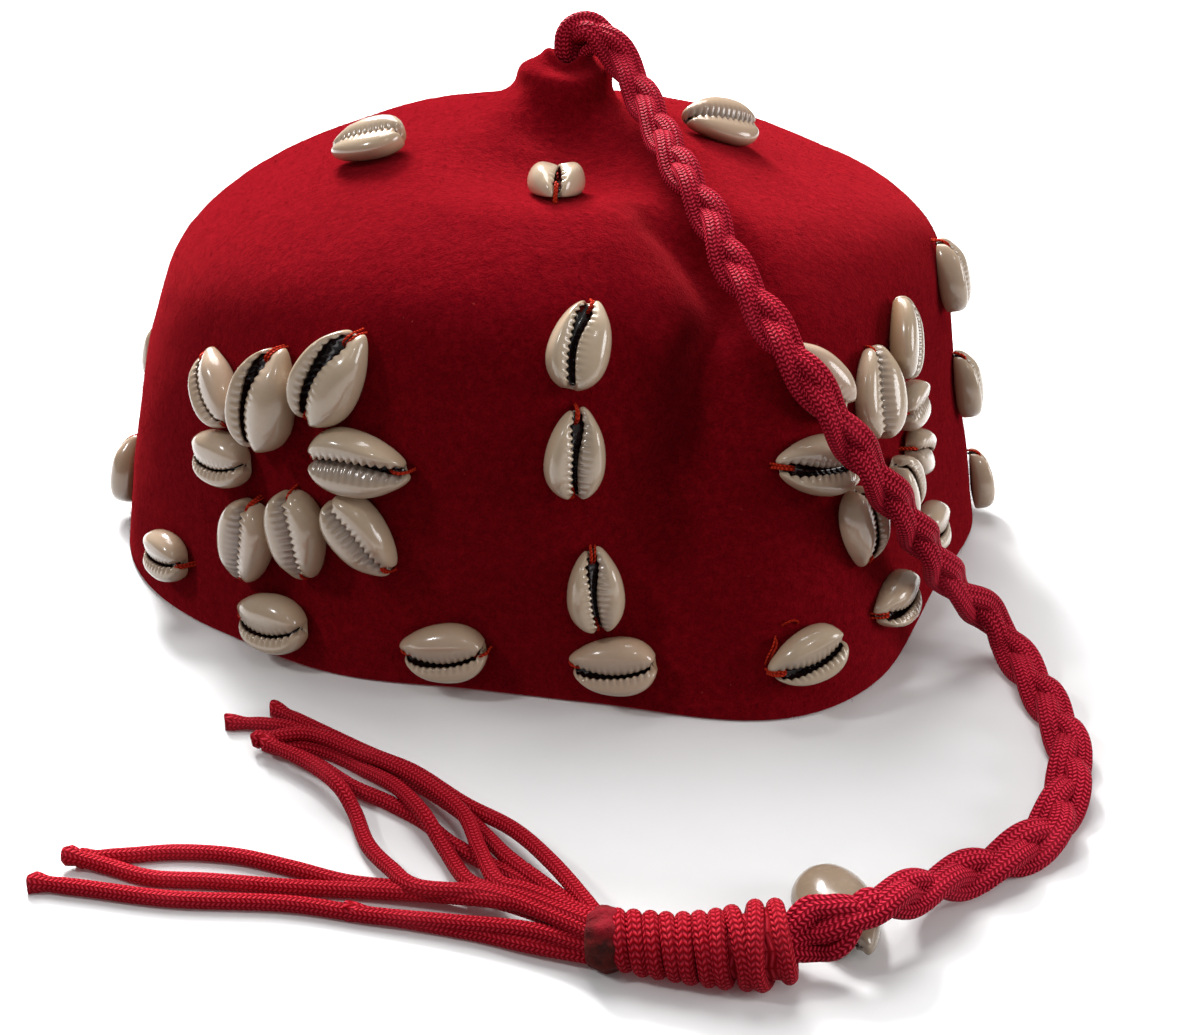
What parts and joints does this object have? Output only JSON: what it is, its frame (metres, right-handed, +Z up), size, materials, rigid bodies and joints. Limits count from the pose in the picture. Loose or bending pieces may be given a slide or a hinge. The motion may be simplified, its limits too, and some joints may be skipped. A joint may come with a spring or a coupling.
{
  "type": "felt cap with cowrie shells",
  "caption": "Soft domed felt cap with a small nub on the crown, sewn with cowrie shells in rows and flowers, and a plaited cord that ends in a bound tassel.",
  "frame": {"origin": "centre of the cap's outline at its base, on the surface that the rim stands on", "axes": "+Z up through the crown, -Y towards the front of the cap, +X to the viewer's right"},
  "size_m": [0.1994, 0.2532, 0.1094],
  "materials": {
    "felt": "red wool felt with a short nap",
    "shell": "glossy cream cowrie",
    "cord": "raspberry braided cord"
  },
  "bodies": {
    "root": {"felt_cap": "felt", "top_shell_front": "shell", "top_shell_right": "shell", "top_shell_back": "shell", "top_shell_left": "shell", "front_column_shell_1": "shell", "front_column_shell_2": "shell", "front_column_shell_3": "shell", "right_column_shell_1": "shell", "right_column_shell_2": "shell", "right_column_shell_3": "shell", "back_column_shell_1": "shell", "back_column_shell_2": "shell", "back_column_shell_3": "shell", "left_column_shell_1": "shell", "left_column_shell_2": "shell", "left_column_shell_3": "shell", "left_flower_upper_left": "shell", "left_flower_top": "shell", "left_flower_upper_right": "shell", "left_flower_left": "shell", "left_flower_right": "shell", "left_flower_lower_left": "shell", "left_flower_bottom": "shell", "left_flower_lower_right": "shell", "right_flower_upper_left": "shell", "right_flower_top": "shell", "right_flower_upper_right": "shell", "right_flower_left": "shell", "right_flower_right": "shell", "right_flower_lower_left": "shell", "right_flower_bottom": "shell", "right_flower_lower_right": "shell", "back_left_flower": "shell", "back_right_flower": "shell", "rim_shell_1": "shell", "rim_shell_2": "shell", "rim_shell_3": "shell", "rim_shell_4": "shell", "rim_shell_5": "shell", "rim_shell_6": "shell", "rim_shell_7": "shell", "rim_shell_8": "shell", "rim_shell_9": "shell", "rim_shell_10": "shell", "rim_shell_11": "shell", "rim_shell_12": "shell", "rim_shell_13": "shell", "rim_shell_14": "shell", "cord_knot": "cord", "braid": "cord", "cord_shell": "shell", "binding": "cord", "tassel": "cord"}
  },
  "joints": []
}
